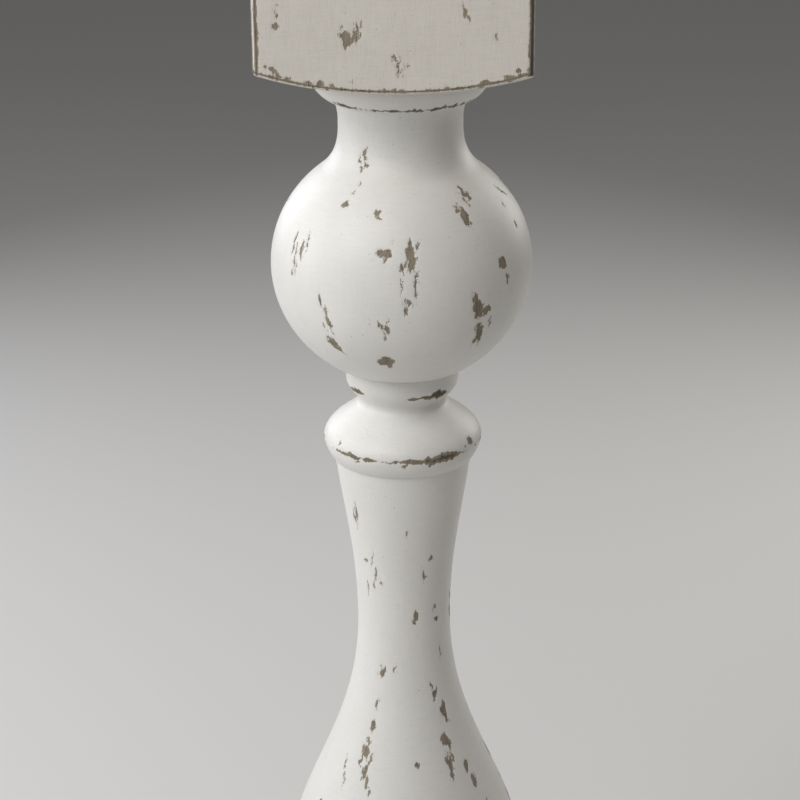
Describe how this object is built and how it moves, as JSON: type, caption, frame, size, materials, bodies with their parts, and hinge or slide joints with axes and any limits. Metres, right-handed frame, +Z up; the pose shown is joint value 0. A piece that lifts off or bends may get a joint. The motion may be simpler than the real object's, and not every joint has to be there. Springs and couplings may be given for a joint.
{
  "type": "floor candlestick",
  "caption": "Tall turned wooden candlestick with square blocks, ball and vase turnings, a plinth, and an iron pan with a spike for a pillar candle.",
  "frame": {"origin": "middle of the footprint, on the floor, under the column's axis", "axes": "+Z up the column's axis; X and Y square to the sides of the blocks"},
  "size_m": [0.178, 0.178, 0.8229],
  "materials": {
    "painted_wood": "off-white chalk paint over brown wood, chipped and rubbed through on the arrises, low sheen",
    "iron": "dark waxed sheet iron",
    "steel": "zinc plated, dull",
    "rubber": "dull black rubber"
  },
  "bodies": {
    "root": {"foot_pad_1": "rubber", "foot_pad_2": "rubber", "foot_pad_3": "rubber", "foot_pad_4": "rubber", "base_plinth": "painted_wood", "base_block": "painted_wood", "foot_turning": "painted_wood", "vase_turning": "painted_wood", "ring_turning": "painted_wood", "ball_turning": "painted_wood", "top_block": "painted_wood", "candle_pan": "iron", "candle_spike": "iron", "pan_screw_1": "steel", "pan_screw_2": "steel", "pan_screw_3": "steel", "plinth_screw_1": "steel", "plinth_screw_2": "steel", "plinth_screw_3": "steel", "plinth_screw_4": "steel", "tie_rod": "steel", "rod_washer_bottom": "steel", "rod_nut_bottom": "steel", "rod_washer_top": "steel", "rod_nut_top": "steel"}
  },
  "joints": []
}
